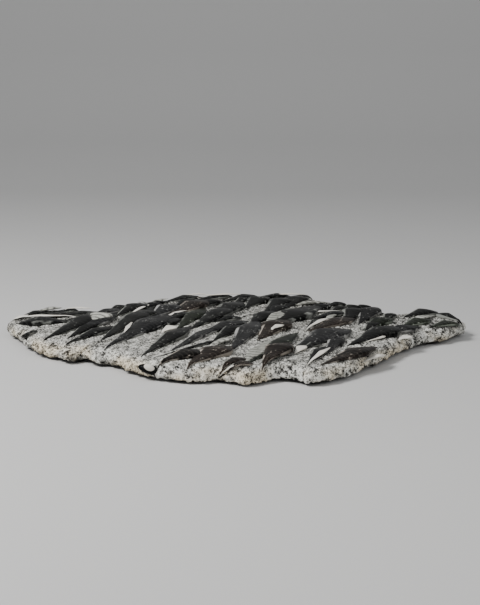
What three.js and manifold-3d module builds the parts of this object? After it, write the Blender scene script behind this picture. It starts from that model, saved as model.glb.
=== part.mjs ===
// Orthoceras fossil plate: an uncut-edged slab of dark and pale limestone with dozens of slender
// cone shells standing proud of the carved matrix. Units are millimetres, +Z is up, the front is -Y.
// It is one piece of stone: slab, rim and shells are fused into a single closed body.

import * as THREE from 'three';
import { mergeVertices } from 'three/addons/utils/BufferGeometryUtils.js';
import Module from 'manifold-3d';

// ---- driving dimensions, mm ----
const HALF_LENGTH = 311;          // centre to either tip along X
const PLATEAU_FRONT = 27;         // top of the stone above the table near the front edge
const PLATEAU_REAR = 33;          // and towards the rear
const END_DROP = 7;               // how much lower the two pointed ends lie
const LIP_HEIGHT = 11;            // height of the widest outline above the table
const LIP_FRONT_DROP = 4;         // the lip dips by this much at the middle of the front
const BEVEL_NARROW = 15;          // width of the broken rim face seen from above
const BEVEL_WIDE = 26;            // and at the front left, where it slopes more gently
const BASE_INSET = 20;            // the flat resting face is this far inside the outline
const BREAK_HEIGHT = 3.5;         // height of the rough break between resting face and lip
const MATRIX_DEPTH = 3;           // the face is carved this far down, but not at the lip
const SHELL_SINK = 0.6;           // shell axes lie this far below the carved face
const SHELL_DIVE = 1.5;           // the fine tip runs down this much further into the stone
const SHELL_RISE = 1.6;           // half-height of the thinnest shell
const SHELL_ROUNDNESS = 0.27;     // half-height gained per unit of half-width
const BACK_POWER = 0.5;           // below 1 flattens the backs of the shells, which were ground
const RIM_SEGMENTS = 112;
const EDGE_SAMPLES = 900;
const KEEL_TURN = 270;            // the corner of a shell that lies deepest in the stone, degrees
const SHELL_TURNS = [-18, 38, 90, 142, 198, KEEL_TURN];    // corners round a shell; 90 is the crest
const SLIM_WIDTH = 22;            // up to this width a shell has fewer corners
const SLIM_TURNS = [-18, 90, 198, KEEL_TURN];

// Outline seen from above, anticlockwise from the left tip.
const OUTLINE = [
  [-311, 70], [-305, 47], [-294, 27], [-281, -2], [-267, -32], [-254, -56], [-240, -70], [-228, -77],
  [-215, -93], [-206, -97], [-198, -85], [-188, -91], [-174, -108], [-160, -111], [-146, -125],
  [-131, -145], [-114, -164], [-100, -173], [-82, -183], [-60, -190], [-38, -191], [-22, -187],
  [-6, -194], [13, -204], [30, -194], [55, -180], [70, -187], [84, -200], [104, -196], [126, -178],
  [142, -160], [158, -135], [172, -117], [188, -94], [202, -68], [214, -45], [226, -26], [246, -4],
  [264, 6], [279, 16], [292, 34], [304, 50], [311, 66], [305, 82], [295, 92], [283, 106], [270, 119],
  [256, 125], [240, 114], [223, 101], [209, 100], [201, 115], [186, 128], [164, 138], [140, 158],
  [118, 183], [98, 200], [60, 201], [10, 199], [-16, 202], [-52, 198], [-80, 193], [-104, 176],
  [-124, 163], [-146, 160], [-160, 131], [-184, 117], [-206, 107], [-229, 121], [-252, 128],
  [-272, 117], [-292, 104], [-304, 91],
];

// Shells: tip x, tip y, butt x, butt y, greatest width, and for some how much higher they stand.
const SHELLS = [
  // near-black shells
  [-278, 76, -212, 76, 22], [-256, 64, -180, 86, 22], [-228, 46, -172, 80, 20],
  [-244, -50, -168, 88, 40], [-214, -50, -160, 88, 34], [-214, -76, -154, 12, 24],
  [-172, -70, -112, 114, 34], [-162, 62, -122, 140, 34], [-122, -40, -72, 52, 26],
  [-96, 18, -66, 86, 22], [-130, 100, -104, 140, 24], [-134, 126, -92, 152, 16],
  [-86, 116, -58, 162, 24], [-32, 30, 8, 154, 36], [-52, 114, -20, 156, 30], [10, 104, 44, 186, 34],
  [12, 0, 54, 92, 30], [36, 78, 76, 180, 34], [64, 102, 96, 188, 36], [100, 84, 128, 130, 26],
  [224, 66, 276, 104, 36], [-106, 146, -50, 188, 24], [-62, 158, -4, 192, 24], [-24, 148, 34, 194, 26],
  [16, 172, 84, 194, 22], [62, 180, 112, 184, 16], [116, 116, 156, 140, 22], [158, 98, 186, 124, 22],
  [-264, 90, -202, 106, 18], [-178, 82, -148, 130, 20], [42, 58, 68, 128, 24], [-6, 132, 20, 176, 20],
  [-214, 38, -290, 42, 40], [-254, -10, -270, -8, 12, 0.6], [-114, -140, -58, 8, 30],
  [-30, -72, 10, 20, 26], [-102, -150, -2, -48, 8], [-62, -18, 0, 122, 34], [-32, 26, 8, 52, 22],
  [78, -112, 108, -74, 16], [134, 146, 46, 8, 48], [94, 40, 156, 86, 24], [82, -184, 112, -90, 20],
  [126, 84, 150, 116, 18], [90, -6, 112, 44, 14], [136, -90, 220, 14, 42], [142, 18, 166, 120, 30],
  [164, -16, 186, 32, 18], [146, 94, 168, 124, 24], [-144, 24, -104, 96, 24], [302, 54, 266, 92, 24],
  [-300, 62, -252, 108, 22], [194, 30, 212, 86, 20],
  // grey shells
  [-208, -26, -162, 70, 34, 0.7], [-204, 54, -154, 106, 24], [-162, -98, -80, 80, 44],
  [-116, 52, -78, 128, 38], [160, 20, 192, 124, 34], [174, -40, 242, 16, 32],
  [-256, -12, -278, -4, 18], [-82, -120, -22, 6, 20], [-8, -120, 30, 38, 34], [-56, -48, 18, 36, 30],
  [70, -102, 148, -8, 50], [104, -144, 136, -36, 22], [152, 58, 196, 102, 26],
  // dark green shells
  [212, 8, 260, 56, 30], [250, 12, 300, 52, 26], [-78, -18, -42, 110, 26], [162, -12, 208, 60, 30],
  [12, -182, 80, -28, 24, 1],
  // brown shells
  [-92, 56, -36, 164, 38], [-58, -184, -4, -92, 42], [-94, -172, -34, -114, 36],
  [-20, -186, 16, -152, 20], [-12, -188, 22, -178, 20], [26, -66, 68, 42, 42], [90, -20, 160, 52, 32],
  [98, -184, 174, -92, 32], [30, -188, 66, -90, 36, 4],
  // shells replaced by white calcite
  [-240, 98, -194, 96, 8, 4.5], [-134, 24, -142, -40, 6, 4], [-80, 182, -38, 186, 8, 3],
  [-62, 174, 10, 182, 8, 4], [204, -48, 224, -20, 16, 1.5], [-206, 60, -296, 68, 8, 2.4],
  [36, 184, 102, 188, 8, 3], [-20, -186, 0, -186, 6, 1.8], [-96, -26, -76, -2, 18, 1.5],
  [42, -32, 62, -6, 12, 5], [88, -16, 124, 44, 8, 2.4], [70, -132, 86, -94, 14, 1],
  [82, -186, 116, -104, 8, 2.2], [-274, 86, -298, 60, 8, 1.5], [158, -74, 194, -36, 14, 1],
  [150, -142, 184, -100, 14, 4], [146, 94, 94, 72, 5, 0.8], [248, 98, 268, 92, 5],
  [-104, 34, -66, 86, 6, 2.2], [-144, 62, -118, 126, 7, 2.4],
  // pale shells that show their chamber walls
  [-276, 94, -238, 110, 14, 3], [276, 82, 230, 46, 14, 0.8], [-194, 14, -170, 64, 34, 4],
  [-140, 150, -96, 168, 12, 2], [-46, -104, -92, -166, 14], [60, -34, 8, -178, 22, 1],
  [88, 114, 38, 12, 22, 2.6], [140, 78, 116, 26, 10, 2], [132, 148, 80, 126, 16, 1],
  [-36, -104, -2, -66, 14, 3.4],
];

// A round shell cut across, showing on the front left of the rim.
const RIM_KNOB = { x: -101, y: -163, width: 13, height: 10, lift: 1 };

// ---- the shape of the stone ----

function noise(a, b) {
  const wave = Math.sin(a * 12.9898 + b * 78.233) * 43758.5453;
  return 2 * (wave - Math.floor(wave)) - 1;
}

function smooth(from, to, value) {
  const t = THREE.MathUtils.clamp((value - from) / (to - from), 0, 1);
  return t * t * (3 - 2 * t);
}

const outlineCurve = new THREE.CatmullRomCurve3(
  OUTLINE.map(([x, y]) => new THREE.Vector3(x, y, 0)),
  true,
  'catmullrom',
  0.5,
);

const edgePoints = outlineCurve.getSpacedPoints(EDGE_SAMPLES).slice(0, EDGE_SAMPLES);

function isInside(x, y) {
  let inside = false;
  edgePoints.forEach((a, k) => {
    const b = edgePoints[(k + 1) % EDGE_SAMPLES];
    if (a.y > y !== b.y > y && x < a.x + ((b.x - a.x) * (y - a.y)) / (b.y - a.y)) {
      inside = !inside;
    }
  });
  return inside;
}

// Distance in from the outline; nothing is counted outside it.
function edgeDistance(x, y) {
  if (!isInside(x, y)) {
    return 0;
  }
  return Math.min(...edgePoints.map((p) => Math.hypot(p.x - x, p.y - y)));
}

function lipHeight(x, y) {
  const nearFront = 1 - smooth(-140, -60, y);
  return LIP_HEIGHT - LIP_FRONT_DROP * Math.exp(-(((x - 20) / 110) ** 2)) * nearFront;
}

function bevelWidth(x, y) {
  const frontLeft = (1 - smooth(-160, 40, x)) * (1 - smooth(-40, 60, y));
  return BEVEL_NARROW + (BEVEL_WIDE - BEVEL_NARROW) * frontLeft;
}

function plateauHeight(x, y) {
  const rise = (PLATEAU_REAR - PLATEAU_FRONT) * smooth(-160, 120, y);
  return PLATEAU_FRONT + rise - END_DROP * Math.abs(x / HALF_LENGTH) ** 3;
}

// Height of the carved face above the table.
function faceHeight(x, y) {
  const inward = THREE.MathUtils.clamp(edgeDistance(x, y) / bevelWidth(x, y), 0, 1);
  const lip = lipHeight(x, y);
  const polished = lip + (plateauHeight(x, y) - lip) * (1 - (1 - inward) ** 2);
  return polished - MATRIX_DEPTH * inward;
}

// ---- closed bodies ----

const wasm = await Module();
wasm.setup();

function toBody(positions, indices) {
  const geometry = new THREE.BufferGeometry();
  geometry.setAttribute('position', new THREE.Float32BufferAttribute(positions, 3));
  geometry.setIndex(indices);
  const welded = mergeVertices(geometry, 1e-4);
  return new wasm.Manifold(new wasm.Mesh({
    numProp: 3,
    vertProperties: new Float32Array(welded.attributes.position.array),
    triVerts: new Uint32Array(welded.index.array),
  }));
}

// Closed skin through rings of points, with a point closing each end. A ring has as many points
// as the one before it, or half as many.
function ringedBody(firstPoint, rings, lastPoint) {
  const positions = [...firstPoint];
  const starts = [];
  rings.forEach((ring) => {
    starts.push(positions.length / 3);
    ring.forEach((point) => positions.push(...point));
  });
  const last = positions.length / 3;
  positions.push(...lastPoint);
  const indices = [];
  rings[0].forEach((_, k) => indices.push(0, 1 + ((k + 1) % rings[0].length), 1 + k));
  for (let ring = 0; ring + 1 < rings.length; ring += 1) {
    const lower = (k) => starts[ring] + (k % rings[ring].length);
    const upper = (k) => starts[ring + 1] + (k % rings[ring + 1].length);
    const step = rings[ring].length / rings[ring + 1].length;
    for (let k = 0; k < rings[ring + 1].length; k += 1) {
      for (let part = 0; part < step; part += 1) {
        indices.push(lower(k * step + part), lower(k * step + part + 1), upper(k + 1));
      }
      indices.push(lower(k * step), upper(k + 1), upper(k));
    }
  }
  const top = rings.at(-1).length;
  rings.at(-1).forEach((_, k) => indices.push(last, last - top + k, last - top + ((k + 1) % top)));
  return toBody(positions, indices);
}

// The outline at even steps, each point with the direction that leads into the stone from it.
function rimStations() {
  const points = outlineCurve.getSpacedPoints(RIM_SEGMENTS).slice(0, RIM_SEGMENTS);
  return points.map((point, k) => {
    const before = points[(k + RIM_SEGMENTS - 2) % RIM_SEGMENTS];
    const after = points[(k + 2) % RIM_SEGMENTS];
    const across = new THREE.Vector3(before.y - after.y, after.x - before.x, 0).normalize();
    const home = point.clone().negate().normalize();
    return { point, inward: across.add(home.multiplyScalar(0.35)).normalize() };
  });
}

function slab() {
  const stations = rimStations();
  const flank = (row, depth, lift) => stations.map(({ point, inward }, k) => {
    const reach = depth * (1 + noise(k, row) * 0.2);
    return [point.x + inward.x * reach, point.y + inward.y * reach, lift];
  });
  const face = (row, share) => stations.map(({ point, inward }, k) => {
    const reach = share * bevelWidth(point.x, point.y) * (1 + noise(k, row) * 0.15);
    const x = point.x + inward.x * reach;
    const y = point.y + inward.y * reach;
    return [x, y, faceHeight(x, y) + noise(k, row + 9) * 0.8];
  });
  const shoulder = face(5, 1.1);
  const field = (step, shareX, shareY) => shoulder.filter((_, k) => k % step === 0).map(([x, y]) => [
    x * shareX,
    y * shareY,
    faceHeight(x * shareX, y * shareY),
  ]);
  const rings = [
    flank(1, BASE_INSET, 0),
    flank(2, BASE_INSET * 0.3, BREAK_HEIGHT),
    stations.map(({ point }) => [point.x, point.y, lipHeight(point.x, point.y)]),
    face(3, 0.3),
    face(4, 0.65),
    shoulder,
    field(2, 0.88, 0.7),
    field(4, 0.7, 0.4),
    field(8, 0.4, 0.15),
  ];
  return ringedBody([0, 0, 0], rings, [0, 0, faceHeight(0, 0)]);
}

// One cone shell lying in the surface: fine tip, even taper, shorter blunt point at the far end.
function shell([tipX, tipY, buttX, buttY, width, lift = 0]) {
  const length = Math.hypot(buttX - tipX, buttY - tipY);
  const alongX = (buttX - tipX) / length;
  const alongY = (buttY - tipY) / length;
  const centre = (share, raised = 0) => {
    const x = tipX + alongX * length * share;
    const y = tipY + alongY * length * share;
    const dive = SHELL_DIVE * (1 - smooth(0, 0.25, share));
    return [x, y, faceHeight(x, y) + raised - SHELL_SINK - dive];
  };
  const turns = width > SLIM_WIDTH ? SHELL_TURNS : SLIM_TURNS;
  const profile = [[0.1, 0.17], [0.36, 0.59], [0.63, 1], [0.85, 0.5]];
  const rings = profile.map(([share, girth]) => {
    const [x, y, z] = centre(share, lift);
    const half = (width / 2) * girth;
    const crest = half * SHELL_ROUNDNESS + SHELL_RISE * girth;
    return turns.map((degrees) => {
      const turn = THREE.MathUtils.degToRad(degrees);
      const side = Math.cos(turn) * half;
      const reach = degrees === KEEL_TURN ? crest + lift : crest;
      const rise = Math.sign(Math.sin(turn)) * Math.abs(Math.sin(turn)) ** BACK_POWER;
      return [x - alongY * side, y + alongX * side, z + rise * reach];
    });
  });
  return ringedBody(centre(0), rings, centre(1));
}

function knob() {
  const ball = new THREE.SphereGeometry(1, 12, 8);
  ball.scale(RIM_KNOB.width / 2, RIM_KNOB.width / 2, RIM_KNOB.height / 2);
  ball.rotateX(Math.PI / 2);
  const height = faceHeight(RIM_KNOB.x, RIM_KNOB.y) + RIM_KNOB.lift;
  ball.translate(RIM_KNOB.x, RIM_KNOB.y, height);
  ball.deleteAttribute('normal');
  ball.deleteAttribute('uv');
  const welded = mergeVertices(ball, 1e-4);
  return toBody(Array.from(welded.attributes.position.array), Array.from(welded.index.array));
}

const bodies = [slab(), ...SHELLS.map(shell), knob()];
const plate = wasm.Manifold.union(bodies);
const skin = plate.getMesh();
const geometry = new THREE.BufferGeometry();
geometry.setAttribute('position', new THREE.BufferAttribute(new Float32Array(skin.vertProperties), 3));
geometry.setIndex(new THREE.BufferAttribute(new Uint32Array(skin.triVerts), 1));
geometry.computeVertexNormals();

const stone = new THREE.MeshStandardMaterial({ color: 0x7d7a74, roughness: 0.45, metalness: 0 });
stone.name = 'stone';
const mesh = new THREE.Mesh(geometry, stone);
mesh.name = 'fossil_plate';

const root = new THREE.Group();
root.name = 'orthoceras_fossil_plate';
root.add(mesh);

export default root;
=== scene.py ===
import math
import bpy
import numpy as np
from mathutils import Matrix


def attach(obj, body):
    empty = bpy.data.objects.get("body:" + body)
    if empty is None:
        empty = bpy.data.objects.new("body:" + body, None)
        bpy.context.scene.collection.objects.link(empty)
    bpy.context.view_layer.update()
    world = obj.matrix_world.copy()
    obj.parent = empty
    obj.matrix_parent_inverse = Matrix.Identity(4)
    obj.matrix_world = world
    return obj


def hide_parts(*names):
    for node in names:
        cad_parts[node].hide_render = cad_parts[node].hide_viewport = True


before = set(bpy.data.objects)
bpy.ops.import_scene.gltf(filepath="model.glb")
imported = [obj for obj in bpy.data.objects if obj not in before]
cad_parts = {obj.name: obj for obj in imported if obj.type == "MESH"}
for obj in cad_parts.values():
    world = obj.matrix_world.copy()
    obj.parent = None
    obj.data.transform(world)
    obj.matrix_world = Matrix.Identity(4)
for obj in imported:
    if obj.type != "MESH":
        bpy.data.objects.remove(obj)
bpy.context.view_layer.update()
MM = 0.001          # sizes are in millimetres, the scene is in metres

# ---------------------------------------------------------------------------------------------
# The camera looks slightly down on the front of the slab, as someone does who stands a couple
# of steps from the shelf it lies on.
CAMERA_DIP = 11.74      # degrees below level
camera_data = bpy.data.cameras.new("camera")
camera_data.lens = 84.2
camera_data.sensor_width = 36
camera_data.clip_end = 50
camera = bpy.data.objects.new("camera", camera_data)
camera.location = (0.0048, -1.7859, 0.4309)
camera.rotation_euler = (math.radians(90 - CAMERA_DIP), 0, 0)
bpy.context.scene.collection.objects.link(camera)
bpy.context.scene.camera = camera

# ---------------------------------------------------------------------------------------------
# The slab: one piece of limestone broken to an irregular outline, with a rough rim that leans in
# towards the top, a lip where it is widest, and an undercut break down to a flat sawn base.
# Its upper face was carved down between the fossils with small pointed chisels.
OUTLINE = np.array([
    (-311, 70), (-305, 47), (-294, 27), (-281, -2), (-267, -32), (-254, -56), (-240, -70),
    (-228, -77), (-215, -93), (-206, -97), (-198, -85), (-188, -91), (-174, -108), (-160, -111),
    (-146, -125), (-131, -145), (-114, -164), (-100, -173), (-82, -183), (-60, -190), (-38, -191),
    (-22, -187), (-6, -194), (13, -204), (30, -194), (55, -180), (70, -187), (84, -200),
    (104, -196), (126, -178), (142, -160), (158, -135), (172, -117), (188, -94), (202, -68),
    (214, -45), (226, -26), (246, -4), (264, 6), (279, 16), (292, 34), (304, 50), (311, 66),
    (305, 82), (295, 92), (283, 106), (270, 119), (256, 125), (240, 114), (223, 101), (209, 100),
    (201, 115), (186, 128), (164, 138), (140, 158), (118, 183), (98, 200), (60, 201), (10, 199),
    (-16, 202), (-52, 198), (-80, 193), (-104, 176), (-124, 163), (-146, 160), (-160, 131),
    (-184, 117), (-206, 107), (-229, 121), (-252, 128), (-272, 117), (-292, 104), (-304, 91),
], float)
HALF_LENGTH = 311       # centre to either tip along X
PLATEAU_FRONT = 27      # top of the stone above the table near the front edge
PLATEAU_REAR = 33       # and towards the rear
END_DROP = 7            # how much lower the two pointed ends lie
LIP_HEIGHT = 11         # height of the widest outline above the table
LIP_FRONT_DROP = 4      # the lip dips by this much at the middle of the front
BEVEL_NARROW = 15       # width of the broken rim face seen from above
BEVEL_WIDE = 26         # and at the front left, where it slopes more gently
BASE_INSET = 20         # the flat resting face is this far inside the outline
MATRIX_DEPTH = 3        # the face is carved this far down, but not at the lip
CARVED_DEPTH = 1.6      # and this much further between the shells
WEATHERING = 2.0        # the lip lies this far inside the outline, which leaves room for grain
GRID_HALF = 140         # squares from the middle of the face to its border
EDGE_STEPS = 1200       # places along the outline that distances are taken to
CHUNK = 4000            # points measured at a time, to keep memory small
HOMEWARD = 14           # how strongly the undercut is drawn to the middle of the slab
# Rings from the lip down to the base: how far in, height as a share of the lip's, how chipped,
# and 1 where the break is painted dark grey as shade.
UNDERCUT = ((0.5, 0.72, 1, 0), (2.0, 0.45, 1, 0), (7, 0.25, 0.8, 1), (12, 0.1, 0.4, 1),
            (BASE_INSET, 0, 0, 1))


def closed_curve(points, steps, between=24):
    """Points on the smooth closed curve through the given ones, at even steps of length."""
    before, after, further = np.roll(points, 1, 0), np.roll(points, -1, 0), np.roll(points, -2, 0)
    t = np.linspace(0, 1, between, endpoint=False)[None, :, None]
    p0, p1, p2, p3 = (p[:, None, :] for p in (before, points, after, further))
    fine = 0.5 * (2 * p1 + (p2 - p0) * t + (2 * p0 - 5 * p1 + 4 * p2 - p3) * t**2
                  + (3 * p1 - p0 - 3 * p2 + p3) * t**3)
    fine = fine.reshape(-1, 2)
    fine = np.vstack([fine, fine[:1]])
    length = np.concatenate([[0], np.cumsum(np.hypot(*np.diff(fine, axis=0).T))])
    at = np.linspace(0, length[-1], steps, endpoint=False)
    return np.stack([np.interp(at, length, fine[:, 0]), np.interp(at, length, fine[:, 1])], 1)


EDGE = closed_curve(OUTLINE, EDGE_STEPS)


def smooth(low, high, value):
    """0 below one value, 1 above the other, smooth between."""
    t = np.clip((value - low) / (high - low), 0, 1)
    return t * t * (3 - 2 * t)


def edge_distance(x, y):
    """Distance in from the outline; nothing is counted outside it."""
    x, y = np.ravel(x), np.ravel(y)
    ahead = np.roll(EDGE, -1, 0)
    found = np.zeros(len(x))
    for start in range(0, len(x), CHUNK):
        px, py = x[start:start + CHUNK, None], y[start:start + CHUNK, None]
        crosses = (EDGE[:, 1] > py) != (ahead[:, 1] > py)
        reach = EDGE[:, 0] + (ahead[:, 0] - EDGE[:, 0]) * (py - EDGE[:, 1]) / (
            ahead[:, 1] - EDGE[:, 1] + 1e-12)
        inside = (crosses & (px < reach)).sum(1) % 2 == 1
        nearest = np.sqrt(((EDGE[:, 0] - px) ** 2 + (EDGE[:, 1] - py) ** 2).min(1))
        found[start:start + CHUNK] = np.where(inside, nearest, 0)
    return found


def lip_height(x, y):
    """Height of the widest outline, which dips at the middle of the front."""
    near_front = 1 - smooth(-140, -60, y)
    return LIP_HEIGHT - LIP_FRONT_DROP * np.exp(-(((x - 20) / 110) ** 2)) * near_front


def bevel_width(x, y):
    """Width of the rim seen from above, greatest at the front left."""
    front_left = (1 - smooth(-160, 40, x)) * (1 - smooth(-40, 60, y))
    return BEVEL_NARROW + (BEVEL_WIDE - BEVEL_NARROW) * front_left


def plateau_height(x, y):
    """Height before carving: it rises to the rear and falls to both ends."""
    rise = (PLATEAU_REAR - PLATEAU_FRONT) * smooth(-160, 120, y)
    return PLATEAU_FRONT + rise - END_DROP * np.abs(x / HALF_LENGTH) ** 3


def inwardness(x, y):
    """0 at the lip, 1 from where the rim has become the upper face."""
    return np.clip(edge_distance(x, y) / bevel_width(x, y), 0, 1)


def face_height(x, y):
    """Height of the carved face above the table, in millimetres."""
    inward = inwardness(x, y)
    lip = lip_height(x, y)
    return lip + (plateau_height(x, y) - lip) * (1 - (1 - inward) ** 2) - MATRIX_DEPTH * inward


# Shells by finish: tip x, tip y, butt x, butt y, greatest width, and how much higher some stand.
# Most rows were worked out by a helper program, which lengthened and widened readings made by eye
# and rounded them to even millimetres. They are estimates, and part.mjs holds the same list.
SHELLS = {
    "black": [
        (-278, 76, -212, 76, 22), (-256, 64, -180, 86, 22), (-228, 46, -172, 80, 20),
        (-244, -50, -168, 88, 40), (-214, -50, -160, 88, 34), (-214, -76, -154, 12, 24),
        (-172, -70, -112, 114, 34), (-162, 62, -122, 140, 34), (-122, -40, -72, 52, 26),
        (-96, 18, -66, 86, 22), (-130, 100, -104, 140, 24), (-134, 126, -92, 152, 16),
        (-86, 116, -58, 162, 24), (-32, 30, 8, 154, 36), (-52, 114, -20, 156, 30),
        (10, 104, 44, 186, 34), (12, 0, 54, 92, 30), (36, 78, 76, 180, 34), (64, 102, 96, 188, 36),
        (100, 84, 128, 130, 26), (224, 66, 276, 104, 36), (-106, 146, -50, 188, 24),
        (-62, 158, -4, 192, 24), (-24, 148, 34, 194, 26), (16, 172, 84, 194, 22),
        (62, 180, 112, 184, 16), (116, 116, 156, 140, 22), (158, 98, 186, 124, 22),
        (-264, 90, -202, 106, 18), (-178, 82, -148, 130, 20), (42, 58, 68, 128, 24),
        (-6, 132, 20, 176, 20), (-214, 38, -290, 42, 40), (-254, -10, -270, -8, 12, 0.6),
        (-114, -140, -58, 8, 30), (-30, -72, 10, 20, 26), (-102, -150, -2, -48, 8),
        (-62, -18, 0, 122, 34), (-32, 26, 8, 52, 22), (78, -112, 108, -74, 16),
        (134, 146, 46, 8, 48), (94, 40, 156, 86, 24), (82, -184, 112, -90, 20),
        (126, 84, 150, 116, 18), (90, -6, 112, 44, 14), (136, -90, 220, 14, 42),
        (142, 18, 166, 120, 30), (164, -16, 186, 32, 18), (146, 94, 168, 124, 24),
        (-144, 24, -104, 96, 24), (302, 54, 266, 92, 24), (-300, 62, -252, 108, 22),
        (194, 30, 212, 86, 20),
    ],
    "slate": [
        (-208, -26, -162, 70, 34, 0.7), (-204, 54, -154, 106, 24), (-162, -98, -80, 80, 44),
        (-116, 52, -78, 128, 38), (160, 20, 192, 124, 34), (174, -40, 242, 16, 32),
        (-256, -12, -278, -4, 18), (-82, -120, -22, 6, 20), (-8, -120, 30, 38, 34),
        (-56, -48, 18, 36, 30), (70, -102, 148, -8, 50), (104, -144, 136, -36, 22),
        (152, 58, 196, 102, 26),
    ],
    "olive": [
        (212, 8, 260, 56, 30), (250, 12, 300, 52, 26), (-78, -18, -42, 110, 26),
        (162, -12, 208, 60, 30), (12, -182, 80, -28, 24, 1),
    ],
    "brown": [
        (-92, 56, -36, 164, 38), (-58, -184, -4, -92, 42), (-94, -172, -34, -114, 36),
        (-20, -186, 16, -152, 20), (-12, -188, 22, -178, 20), (26, -66, 68, 42, 42),
        (90, -20, 160, 52, 32), (98, -184, 174, -92, 32), (30, -188, 66, -90, 36, 4),
    ],
    "calcite": [
        (-240, 98, -194, 96, 8, 4.5), (-134, 24, -142, -40, 6, 4), (-80, 182, -38, 186, 8, 3),
        (-62, 174, 10, 182, 8, 4), (204, -48, 224, -20, 16, 1.5), (-206, 60, -296, 68, 8, 2.4),
        (36, 184, 102, 188, 8, 3), (-20, -186, 0, -186, 6, 1.8), (-96, -26, -76, -2, 18, 1.5),
        (42, -32, 62, -6, 12, 5), (88, -16, 124, 44, 8, 2.4), (70, -132, 86, -94, 14, 1),
        (82, -186, 116, -104, 8, 2.2), (-274, 86, -298, 60, 8, 1.5), (158, -74, 194, -36, 14, 1),
        (150, -142, 184, -100, 14, 4), (146, 94, 94, 72, 5, 0.8), (248, 98, 268, 92, 5),
        (-104, 34, -66, 86, 6, 2.2), (-144, 62, -118, 126, 7, 2.4),
    ],
    "ribbed": [
        (-276, 94, -238, 110, 14, 3), (276, 82, 230, 46, 14, 0.8), (-194, 14, -170, 64, 34, 4),
        (-140, 150, -96, 168, 12, 2), (-46, -104, -92, -166, 14), (60, -34, 8, -178, 22, 1),
        (88, 114, 38, 12, 22, 2.6), (140, 78, 116, 26, 10, 2), (132, 148, 80, 126, 16, 1),
        (-36, -104, -2, -66, 14, 3.4),
    ],
}
SHELL_SINK = 0.6        # shell axes lie this far below the carved face
SHELL_RISE = 1.6        # half-height of the thinnest shell
SHELL_ROUNDNESS = 0.27  # half-height gained per unit of half-width
FLAT_ROUNDNESS = 0.22   # the same for the pale shells, which lie flatter
GIRTH_PEAK = 0.62       # a shell is widest this share of the way from tip to butt
BUTT_POWER = 1.4        # above 1 makes the butt end blunter
BACK_POWER = 0.5        # below 1 flattens the backs of the shells, which were ground


def shell_girth(share):
    """Width of a shell as a share of its greatest: an even taper, then a shorter blunt point."""
    taper = np.minimum(1, share / GIRTH_PEAK)
    tail = np.clip((share - GIRTH_PEAK) / (1 - GIRTH_PEAK), 0, 1)
    return taper * (1 - tail ** BUTT_POWER)


def shell_clearance(x, y):
    """Distance from the nearest shell's side, negative under a shell."""
    nearest = np.full(len(x), np.inf)
    for tip_x, tip_y, butt_x, butt_y, width, *_ in sum(SHELLS.values(), []):
        length = math.hypot(butt_x - tip_x, butt_y - tip_y)
        along = ((x - tip_x) * (butt_x - tip_x) + (y - tip_y) * (butt_y - tip_y)) / length
        across = ((x - tip_x) * (butt_y - tip_y) - (y - tip_y) * (butt_x - tip_x)) / length
        share = np.clip(along / length, 0, 1)
        beyond = np.abs(along - share * length)
        side = np.abs(across) - shell_girth(share) * width / 2
        nearest = np.minimum(nearest, np.where(beyond > 0, np.hypot(across, beyond), side))
    return nearest


def store(mesh, **values):
    """Keeps numbers on a mesh's points under the given names."""
    for name, value in values.items():
        mesh.attributes.new(name, "FLOAT", "POINT").data.foreach_set("value", np.ravel(value))


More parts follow.
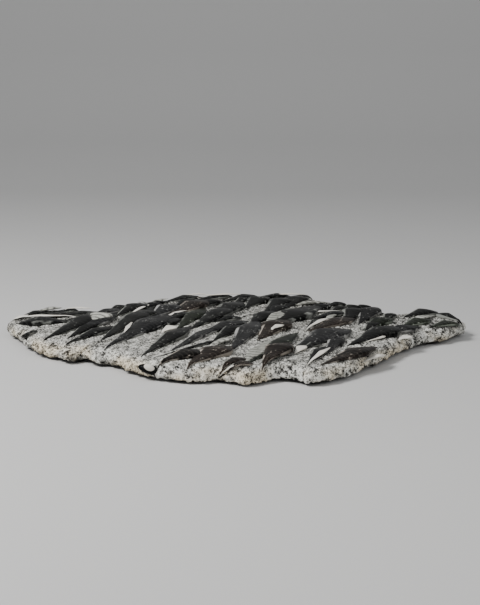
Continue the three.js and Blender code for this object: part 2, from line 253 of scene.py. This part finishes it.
def slab_mesh():
    """The whole skin: a square grid laid onto the outline, and rings down to the flat base."""
    grid = np.linspace(-1, 1, 2 * GRID_HALF + 1)
    u, v = (axis.ravel() for axis in np.meshgrid(grid, grid, indexing="xy"))
    radius = np.maximum(np.abs(u), np.abs(v))
    near = np.where(radius > 0, radius, 1)
    su, sv = u / near, v / near
    # Distance round the square's border from the middle of its left side, in eighths of a turn.
    turn = np.select([(su <= -1) & (sv <= 0), sv <= -1, su >= 1, sv >= 1],
                     [-sv, 2 + su, 4 + sv, 6 - su], 8 - sv) / 8
    loop = closed_curve(OUTLINE, 8 * GRID_HALF)
    ahead = np.roll(loop, -3, 0) - np.roll(loop, 3, 0)
    inward = np.stack([-ahead[:, 1], ahead[:, 0]], 1) / np.hypot(*ahead.T)[:, None]
    loop = loop + inward * WEATHERING
    place = np.rint(turn * 8 * GRID_HALF).astype(int) % (8 * GRID_HALF)
    # The rings lie closer towards the outline lengthwise, and towards the middle crosswise.
    spread = radius ** 0.85
    x = loop[place, 0] * spread ** 0.75
    y = loop[place, 1] * spread ** 1.35
    share = inwardness(x, y)
    z = face_height(x, y) - CARVED_DEPTH * share * smooth(-2, 5, shell_clearance(x, y))
    z = np.where(radius >= 1, lip_height(x, y), z)
    rows = 2 * GRID_HALF + 1
    index = np.arange(rows * rows).reshape(rows, rows)
    quads = np.stack([index[:-1, :-1], index[:-1, 1:], index[1:, 1:], index[1:, :-1]], -1)
    faces = [tuple(quad) for quad in quads.reshape(-1, 4)]
    vertices = np.stack([x, y, z], 1)

    border = np.zeros(8 * GRID_HALF, int)
    border[place[radius >= 1]] = np.flatnonzero(radius >= 1)
    # Below the lip the rings step in along a direction smoothed over its neighbours.
    home = -loop / np.hypot(*loop.T)[:, None]
    steady = sum(np.roll(inward, shift, 0) for shift in range(-20, 21)) + home * HOMEWARD
    steady /= np.hypot(*steady.T)[:, None]
    previous = border
    for reach, share_of_lip, _, _ in UNDERCUT:
        level = lip_height(loop[:, 0], loop[:, 1]) * share_of_lip
        here = len(vertices) + np.arange(len(loop))
        vertices = np.vstack([vertices, np.column_stack([loop + steady * reach, level])])
        faces += zip(here, np.roll(here, -1), np.roll(previous, -1), previous)
        previous = here
    faces.append(tuple(previous[::-1]))
    mesh = bpy.data.meshes.new("limestone_slab")
    mesh.from_pydata((vertices * MM).tolist(), [], [[int(k) for k in face] for face in faces])
    # The last column of UNDERCUT marks the rings that are painted dark grey as shade.
    chipped, painted_shade_below_lip = (np.repeat(column, len(loop)) for column in list(zip(*UNDERCUT))[2:])
    store(mesh,
          rough=np.concatenate([np.ones(len(share)), chipped]),
          inward=np.concatenate([share, np.zeros(len(painted_shade_below_lip))]),
          under=np.concatenate([np.zeros(len(share)), painted_shade_below_lip]))
    mesh.validate()
    return mesh


def add_node(tree, kind, inputs=None, **settings):
    """Adds a node with its settings; an input is given a value or the socket it is linked from."""
    node = tree.nodes.new(kind)
    for name, value in settings.items():
        setattr(node, name, value)
    for key, value in (inputs or {}).items():
        if isinstance(value, bpy.types.NodeSocket):
            tree.links.new(value, node.inputs[key])
        else:
            node.inputs[key].default_value = value
    return node


def calc(tree, operation, *values):
    """The output of one math node."""
    return add_node(tree, "ShaderNodeMath", dict(enumerate(values)), operation=operation).outputs[0]


def new_relief(name, **sizes):
    """A geometry tree with named float inputs; returns it with its input node."""
    tree = bpy.data.node_groups.new(name, "GeometryNodeTree")
    tree.interface.new_socket("Geometry", in_out="INPUT", socket_type="NodeSocketGeometry")
    for label, value in sizes.items():
        socket = tree.interface.new_socket(label.replace("_", " "), in_out="INPUT",
                                           socket_type="NodeSocketFloat")
        socket.default_value = value
    tree.interface.new_socket("Material", in_out="INPUT", socket_type="NodeSocketMaterial")
    tree.interface.new_socket("Geometry", in_out="OUTPUT", socket_type="NodeSocketGeometry")
    return tree, add_node(tree, "NodeGroupInput").outputs


def end_relief(tree, geometry, given):
    """Closes a geometry tree: real geometry, dressed in the given material."""
    real = add_node(tree, "GeometryNodeRealizeInstances", {0: geometry}).outputs[0]
    dressed = add_node(tree, "GeometryNodeSetMaterial", {0: real, "Material": given["Material"]})
    add_node(tree, "NodeGroupOutput", {0: dressed.outputs[0]})


def grown(name, mesh, tree, material, **sizes):
    """Puts the piece that a geometry tree makes of a mesh in its place as plain mesh."""
    source = bpy.data.objects.new(name + "_source", mesh)
    bpy.context.scene.collection.objects.link(source)
    modifier = source.modifiers.new("nodes", "NODES")
    modifier.node_group = tree
    given = {**sizes, "Material": material}
    for item in tree.interface.items_tree:
        if item.in_out == "INPUT" and item.name in given:
            modifier[item.identifier] = given[item.name]
    evaluated = source.evaluated_get(bpy.context.evaluated_depsgraph_get())
    result = bpy.data.meshes.new_from_object(evaluated)
    bpy.data.objects.remove(source)
    result.name = name
    piece = bpy.data.objects.new(name, result)
    bpy.context.scene.collection.objects.link(piece)
    settle(piece)


def settle(piece):
    """Shades a piece of the stone smooth and tells the frame what it stands for."""
    piece.data.shade_smooth()
    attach(piece, "root")
    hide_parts("fossil_plate")


def linear(hex_colour):
    """A hex sRGB colour as the linear one that Blender's sockets hold."""
    parts = [int(hex_colour[i:i + 2], 16) / 255 for i in (1, 3, 5)]
    return tuple(c / 12.92 if c <= 0.04045 else ((c + 0.055) / 1.055) ** 2.4 for c in parts) + (1.0,)


def new_material(name, **sockets):
    """A material, its shader and its object coordinates."""
    material = bpy.data.materials.new(name)
    material.use_nodes = True
    tree = material.node_tree
    shader = tree.nodes["Principled BSDF"]
    for label, value in sockets.items():
        shader.inputs[label.replace("_", " ")].default_value = value
    return material, tree, shader, add_node(tree, "ShaderNodeTexCoord").outputs["Object"]


def ramp(tree, factor, *stops):
    """Colours run through by a factor, from pairs of place and colour."""
    node = add_node(tree, "ShaderNodeValToRGB", {0: factor})
    node.color_ramp.elements.remove(node.color_ramp.elements[1])
    for number, (at, colour) in enumerate(stops):
        element = node.color_ramp.elements[0] if number == 0 else node.color_ramp.elements.new(at)
        element.position = at
        element.color = linear(colour)
    return node.outputs[0]


def mix(tree, factor, first, second, blend_type="MIX"):
    """Two colours mixed; a hex colour may stand for either."""
    first, second = (linear(c) if isinstance(c, str) else c for c in (first, second))
    node = add_node(tree, "ShaderNodeMix", {0: factor, 6: first, 7: second}, data_type="RGBA",
                    blend_type=blend_type)
    return node.outputs[2]


def noise(tree, place, size, detail=3.0, roughness=0.5):
    """Cloudy noise whose lumps are about so many metres across."""
    return add_node(tree, "ShaderNodeTexNoise", {
        "Vector": place, "Scale": 1 / size, "Detail": detail, "Roughness": roughness}).outputs[0]


def attribute(tree, name):
    """A number kept on the mesh under a name, as store() puts it there."""
    return add_node(tree, "ShaderNodeAttribute", attribute_name=name).outputs["Fac"]


def fade(tree, value, low, high):
    """0 below one value, 1 above the other, smooth between."""
    return add_node(tree, "ShaderNodeMapRange", {"Value": value, "From Min": low, "From Max": high},
                    interpolation_type="SMOOTHSTEP").outputs[0]


# Chips broken from the rim are 10 to 20 mm across, and chisel pecks on the face 4 to 5 mm.
pecked, given = new_relief("chipped_and_pecked", Chip_Size=0.012, Chip_Depth=0.017,
                           Peck_Size=0.0045, Peck_Depth=0.0011, Seed=3.0)
position = add_node(pecked, "GeometryNodeInputPosition").outputs[0]
normal = add_node(pecked, "GeometryNodeInputNormal").outputs[0]
rough_at, inward_at = (
    add_node(pecked, "GeometryNodeInputNamedAttribute", {0: name}, data_type="FLOAT").outputs[0]
    for name in ("rough", "inward"))
chips = add_node(pecked, "ShaderNodeTexNoise", {
    "Vector": position, "W": given["Seed"], "Scale": calc(pecked, "DIVIDE", 1.0, given["Chip Size"]),
    "Detail": 5.0, "Roughness": 0.68}, noise_dimensions="4D").outputs[0]
pecks = add_node(pecked, "ShaderNodeTexVoronoi", {
    "Vector": position, "W": given["Seed"], "Scale": calc(pecked, "DIVIDE", 1.0, given["Peck Size"])},
    voronoi_dimensions="4D").outputs["Distance"]
chip_push = calc(pecked, "MULTIPLY", calc(pecked, "SUBTRACT", chips, 0.60), given["Chip Depth"])
chip_push = calc(pecked, "MULTIPLY", chip_push, calc(pecked, "SUBTRACT", 1.2, inward_at))
peck_push = calc(pecked, "MULTIPLY", calc(pecked, "SUBTRACT", pecks, 0.7), given["Peck Depth"])
push = calc(pecked, "MULTIPLY", calc(pecked, "ADD", chip_push, peck_push), rough_at)
offset = add_node(pecked, "ShaderNodeVectorMath", {0: normal, "Scale": push}, operation="SCALE")
moved = add_node(pecked, "GeometryNodeSetPosition", {
    "Geometry": given["Geometry"], "Offset": offset.outputs[0]})
end_relief(pecked, moved.outputs[0], given)

# Pecked limestone: the chisel bruises the dark rock into white and grey grains about 1 mm across,
# with specks of the unbruised black between them. It is dull, and creamier and paler at the rim.
limestone, tree, shader, place = new_material("pecked_limestone", Roughness=0.85)
shader.inputs["Specular IOR Level"].default_value = 0.1
grains = add_node(tree, "ShaderNodeTexVoronoi", {"Vector": place, "Scale": 1 / 0.0013})
grain = add_node(tree, "ShaderNodeSeparateColor", {0: grains.outputs["Color"]}).outputs[0]
value = calc(tree, "MULTIPLY_ADD", grain, 0.30, calc(
    tree, "MULTIPLY", noise(tree, place, 0.0028, 3.0, 0.75), 0.70))
value = calc(tree, "MULTIPLY_ADD", calc(tree, "SUBTRACT", noise(tree, place, 0.012), 0.5), 0.5, value)
at_rim = calc(tree, "SUBTRACT", 1.0, attribute(tree, "inward"))
value = calc(tree, "MULTIPLY_ADD", at_rim, 0.07, value)
# The broken rim is coarser, with white facets and dark hollows about 6 mm across, and so to a
# lesser degree is the right-hand part of the face.
hollows = calc(tree, "SUBTRACT", noise(tree, place, 0.006, 4.0, 0.7), 0.5)
across_slab, depth, _ = add_node(tree, "ShaderNodeSeparateXYZ", {0: place}).outputs
coarse = calc(tree, "MULTIPLY_ADD", fade(tree, across_slab, -0.06, 0.08), 0.35, at_rim)
value = calc(tree, "MULTIPLY_ADD", hollows, coarse, value)
# The rear of the face is painted greyer than the front, as painted shade.
rear = fade(tree, depth, -0.02, 0.14)
value = calc(tree, "MULTIPLY_ADD", rear, -0.08, value)
stone = ramp(tree, value, (0.34, "#232221"), (0.43, "#6c6a66"), (0.50, "#a9a7a1"),
             (0.58, "#d5d2ca"), (0.72, "#fffdf5"))
cream = calc(tree, "MULTIPLY", fade(tree, at_rim, 0.2, 0.9),
             fade(tree, noise(tree, place, 0.05), 0.4, 0.62))
stone = mix(tree, 1.0, stone, mix(tree, cream, "#f1f2f2", "#f5ead6"), "MULTIPLY")
# Below the lip the break is painted dark grey, as painted shade.
stone = mix(tree, attribute(tree, "under"), stone, mix(tree, grain, "#1d1c1b", "#4a4845"))
tree.links.new(stone, shader.inputs["Base Color"])
pits = add_node(tree, "ShaderNodeBump", {"Strength": 0.5, "Distance": 0.0006, "Height": value})
tree.links.new(pits.outputs[0], shader.inputs["Normal"])
grown("limestone_slab", slab_mesh(), pecked, limestone)

# ---------------------------------------------------------------------------------------------
# The cone shells: each a fine tapering cone turned to stone, left standing and polished.
SPINE_POINTS = 34       # places along each shell, closest together at its ends


def spine_mesh(rows, name):
    """A line along each shell's axis, with its half width, place along it and shade."""
    points, edges, girths, alongs, shades = [], [], [], [], []
    for number, (tip_x, tip_y, butt_x, butt_y, width, *lift) in enumerate(rows):
        share = (1 - np.cos(np.linspace(0, math.pi, SPINE_POINTS))) / 2
        x = tip_x + (butt_x - tip_x) * share
        y = tip_y + (butt_y - tip_y) * share
        raised = sum(lift) * smooth(0, 0.25, share)
        edges += [(len(points) + k, len(points) + k + 1) for k in range(SPINE_POINTS - 1)]
        z = face_height(x, y) - SHELL_SINK + SHELL_RISE * shell_girth(share) + raised
        points += np.stack([x, y, z], 1).tolist()
        girths += (np.maximum(shell_girth(share), 0.03) * width / 2 * MM).tolist()
        alongs += (share * math.hypot(butt_x - tip_x, butt_y - tip_y) * MM).tolist()
        shades += [math.sin(12.9898 * number + 4.1 * tip_x) % 1.0] * SPINE_POINTS
    mesh = bpy.data.meshes.new(name)
    mesh.from_pydata((np.array(points) * MM).tolist(), edges, [])
    store(mesh, girth=girths, along=alongs, shade=shades)
    return mesh


cones, given = new_relief("cone_shells", Roundness=SHELL_ROUNDNESS, Waver_Size=0.03,
                          Waver_Depth=0.0012, Seed=5.0)
girth_at = add_node(cones, "GeometryNodeInputNamedAttribute", {0: "girth"},
                    data_type="FLOAT").outputs[0]
spines = add_node(cones, "GeometryNodeMeshToCurve", {0: given["Geometry"]}).outputs[0]
level = add_node(cones, "GeometryNodeSetCurveNormal", {0: spines}, mode="Z_UP").outputs[0]
circle = add_node(cones, "GeometryNodeCurvePrimitiveCircle", {"Resolution": 24, "Radius": 1.0})
position = add_node(cones, "GeometryNodeInputPosition").outputs[0]
circle_x, circle_y, _ = add_node(cones, "ShaderNodeSeparateXYZ", {0: position}).outputs
marked = add_node(cones, "GeometryNodeStoreNamedAttribute", {
    "Geometry": circle.outputs[0], "Name": "across", "Value": circle_x}, data_type="FLOAT")
# The section is an oval with a flattened back, the way the shells were ground.
back = calc(cones, "POWER", calc(cones, "ABSOLUTE", circle_y), BACK_POWER)
back = calc(cones, "MULTIPLY", calc(cones, "MULTIPLY", calc(cones, "SIGN", circle_y), back),
            given["Roundness"])
oval = add_node(cones, "ShaderNodeCombineXYZ", {0: circle_x, 1: back, 2: 0.0})
section = add_node(cones, "GeometryNodeSetPosition", {
    "Geometry": marked.outputs[0], "Position": oval.outputs[0]})
body = add_node(cones, "GeometryNodeCurveToMesh", {
    "Curve": level, "Profile Curve": section.outputs[0], "Scale": girth_at, "Fill Caps": True})
waver = add_node(cones, "ShaderNodeTexNoise", {
    "Vector": position, "W": given["Seed"], "Scale": calc(cones, "DIVIDE", 1.0, given["Waver Size"]),
    "Detail": 2.0}, noise_dimensions="4D").outputs["Color"]
centred = add_node(cones, "ShaderNodeVectorMath", {0: waver, 1: (0.5, 0.5, 0.5)},
                   operation="SUBTRACT").outputs[0]
waved = add_node(cones, "ShaderNodeVectorMath", {0: centred, "Scale": given["Waver Depth"]},
                 operation="SCALE").outputs[0]
moved = add_node(cones, "GeometryNodeSetPosition", {"Geometry": body.outputs[0], "Offset": waved})
end_relief(cones, moved.outputs[0], given)


REAR_SIDE = -1.0        # the sign of "across" on the side of a shell that faces the rear


def polished_stone(name, dark, light, wall, roughness, septa=0.06, pitch=0.007, grain=0.55,
                   ridge=0.75):
    """Polished shell stone: a streaked dark ground, pale specks, chamber walls and a pale skin.

    septa is how strongly the chamber walls show, pitch their spacing, grain the size of the
    specks, and ridge the height of the wave above which it is a wall.
    """
    material, tree, shader, place = new_material(name, Roughness=roughness, Specular_IOR_Level=0.05)
    along, across, shade, girth = (
        attribute(tree, key) for key in ("along", "across", "shade", "girth"))
    # Streaks run lengthwise, 3 mm wide and some 25 mm long.
    lengthwise = add_node(tree, "ShaderNodeCombineXYZ", {
        0: calc(tree, "DIVIDE", along, 0.03),
        1: calc(tree, "DIVIDE", calc(tree, "MULTIPLY", across, girth), 0.0025),
        2: calc(tree, "MULTIPLY", shade, 40.0)}).outputs[0]
    streaks = noise(tree, lengthwise, 1.0, 4.0, 0.6)
    clouds = noise(tree, place, 0.012, 5.0, 0.65)
    tone = calc(tree, "MULTIPLY_ADD", calc(tree, "SUBTRACT", shade, 0.5), 0.16,
                calc(tree, "MULTIPLY", calc(tree, "ADD", streaks, clouds), 0.5))
    colour = ramp(tree, tone, (0.42, dark), (0.66, light))
    # A chamber wall every few millimetres, bowed towards the tip.
    bow = calc(tree, "MULTIPLY_ADD", calc(tree, "MULTIPLY", across, across),
               calc(tree, "MULTIPLY", girth, 0.35), along)
    wave = calc(tree, "SINE", calc(tree, "MULTIPLY", bow, 2 * math.pi / pitch))
    walls = calc(tree, "MULTIPLY", fade(tree, wave, ridge, 1.0), septa)
    colour = mix(tree, walls, colour, wall)
    # Crumbs keep their shape along the shell: cells 4 mm long and 2.4 mm wide.
    lengthwise_crumbs = add_node(tree, "ShaderNodeCombineXYZ", {
        0: calc(tree, "DIVIDE", along, 0.0042),
        1: calc(tree, "DIVIDE", calc(tree, "MULTIPLY", across, girth), 0.0024),
        2: calc(tree, "MULTIPLY", shade, 40.0)}).outputs[0]
    # Veins of calcite, hair-fine, and the crumbs in loose swarms.
    vein = fade(tree, calc(tree, "ABSOLUTE", calc(tree, "SUBTRACT", streaks, 0.53)), 0.012, 0.0)
    vein = calc(tree, "MULTIPLY", vein, fade(tree, noise(tree, place, 0.03), 0.48, 0.62))
    crumbs = add_node(tree, "ShaderNodeTexVoronoi", {
        "Vector": lengthwise_crumbs, "Scale": 1.0})
    crumb = add_node(tree, "ShaderNodeSeparateColor", {0: crumbs.outputs["Color"]}).outputs[0]
    size = calc(tree, "MULTIPLY", calc(tree, "POWER", crumb, 4.0), fade(
        tree, noise(tree, place, 0.016), 0.36, 0.62))
    is_crumb = calc(tree, "LESS_THAN", crumbs.outputs["Distance"], calc(tree, "MULTIPLY", size, grain))
    pale = calc(tree, "MAXIMUM", calc(tree, "MULTIPLY", is_crumb, 0.65), calc(
        tree, "MULTIPLY", vein, 0.4))
    colour = mix(tree, pale, colour, wall)
    # The skin of the shell shows as a fine pale line where it meets the rock.
    edge = calc(tree, "MULTIPLY", fade(tree, calc(tree, "ABSOLUTE", across), 0.95, 0.985), 0.6)
    upper = fade(tree, calc(tree, "MULTIPLY", across, REAR_SIDE), 0.62, 0.72)
    edge = calc(tree, "MAXIMUM", edge, upper)
    edge = calc(tree, "MULTIPLY", edge, fade(tree, noise(tree, place, 0.02), 0.42, 0.6))
    colour = mix(tree, edge, colour, wall)
    tree.links.new(colour, shader.inputs["Base Color"])
    return material


FINISHES = {
    "black": polished_stone("polished_black_limestone", "#030303", "#131312", "#8b8c86", 0.3),
    "slate": polished_stone("polished_grey_limestone", "#0c0c0d", "#2d2d2d", "#a9a8a4", 0.33),
    "olive": polished_stone("polished_green_limestone", "#090b08", "#24281f", "#8e9388", 0.32),
    "brown": polished_stone("polished_brown_limestone", "#0c0a09", "#2c2521", "#b5aca0", 0.34,
                            grain=0.6),
    "calcite": polished_stone("white_calcite", "#dfd9cd", "#fffaf0", "#fffdf6", 0.3),
    "ribbed": polished_stone("chambered_calcite", "#a5a59c", "#dcdbd2", "#4d4c48", 0.35,
                             septa=0.7, pitch=0.009, grain=0.6, ridge=-0.2),
}
for kind, rows in SHELLS.items():
    flatter = {"Roundness": FLAT_ROUNDNESS} if kind in ("calcite", "ribbed") else {}
    grown(kind + "_shells", spine_mesh(rows, kind + "_spines"), cones, FINISHES[kind], **flatter)


def unit_sphere(around=48, up=24):
    """Points and faces of a ball, always in the same order."""
    turn = np.arange(around) * 2 * math.pi / around
    rings = [np.stack([math.sin(tilt) * np.cos(turn), math.sin(tilt) * np.sin(turn),
                       np.full(around, math.cos(tilt))], 1)
             for tilt in np.arange(1, up) * math.pi / up]
    points = np.vstack([[[0, 0, 1]], *rings, [[0, 0, -1]]])
    last = len(points) - 1
    faces = []
    for k in range(around):
        ahead = (k + 1) % around
        faces.append((0, 1 + k, 1 + ahead))
        for ring in range(up - 2):
            top, bottom = 1 + ring * around, 1 + (ring + 1) * around
            faces.append((top + k, bottom + k, bottom + ahead, top + ahead))
        faces.append((last, last - around + ahead, last - around + k))
    return points, faces


# A shell cut across shows at the front left of the rim: a white core in a smooth dark ring.
KNOB_LEAN = 0.25        # drop in height for each unit of length to the right
for name, kind, x, y, z, sizes in (
        ("knob_ring", "slate", -101, -166, 13.2, (14.5, 7, 6)),
        ("knob_core", "calcite", -102, -170, 16.5, (6.5, 4, 4.6))):
    ball, faces = unit_sphere()
    places = ball * sizes + (x, y, z)
    # The whole knob leans to the right, so its height falls off along it.
    places[:, 2] -= KNOB_LEAN * ball[:, 0] * sizes[0]
    mesh = bpy.data.meshes.new(name)
    mesh.from_pydata((places * MM).tolist(), [], faces)
    store(mesh, girth=np.full(len(mesh.vertices), 0.012))
    mesh.materials.append(FINISHES[kind])
    piece = bpy.data.objects.new(name, mesh)
    bpy.context.scene.collection.objects.link(piece)
    settle(piece)

# ---------------------------------------------------------------------------------------------
# A plain pale floor that sweeps up behind, and soft studio light.
FLOOR_SWEEP = ((-4.0, 0.0), (1.6, 0.0), (2.2, 0.06), (2.7, 0.3), (2.95, 0.8), (3.0, 3.5))
floor_mesh = bpy.data.meshes.new("floor")
floor_mesh.from_pydata(
    [(side, y, z) for y, z in FLOOR_SWEEP for side in (-5, 5)], [],
    [(2 * k, 2 * k + 1, 2 * k + 3, 2 * k + 2) for k in range(len(FLOOR_SWEEP) - 1)])
floor_mesh.shade_smooth()
floor_mesh.materials.append(new_material("pale_paper", Base_Color=linear("#d3d2d0"), Roughness=0.9)[0])
floor = bpy.data.objects.new("floor", floor_mesh)
bpy.context.scene.collection.objects.link(floor)


def area_light(name, location, size, watts):
    """A round soft light aimed at the slab."""
    light = bpy.data.lights.new(name, "AREA")
    light.shape = "DISK"
    light.size = size
    light.energy = watts
    lamp = bpy.data.objects.new(name, light)
    lamp.location = location
    x, y, z = location
    lamp.rotation_euler = (math.atan2(math.hypot(x, y), z), 0, math.atan2(y, x) + math.pi / 2)
    bpy.context.scene.collection.objects.link(lamp)


# The key stands high at the front left, and a broad weak fill opposite it.
area_light("key", (-1.1, -0.7, 1.5), 0.7, 38)
area_light("fill", (1.4, -1.3, 1.2), 1.6, 10)
world = bpy.data.worlds.new("studio")
bpy.context.scene.world = world
world.use_nodes = True
world.node_tree.nodes["Background"].inputs[0].default_value = linear("#e8ebef")
world.node_tree.nodes["Background"].inputs[1].default_value = 0.35
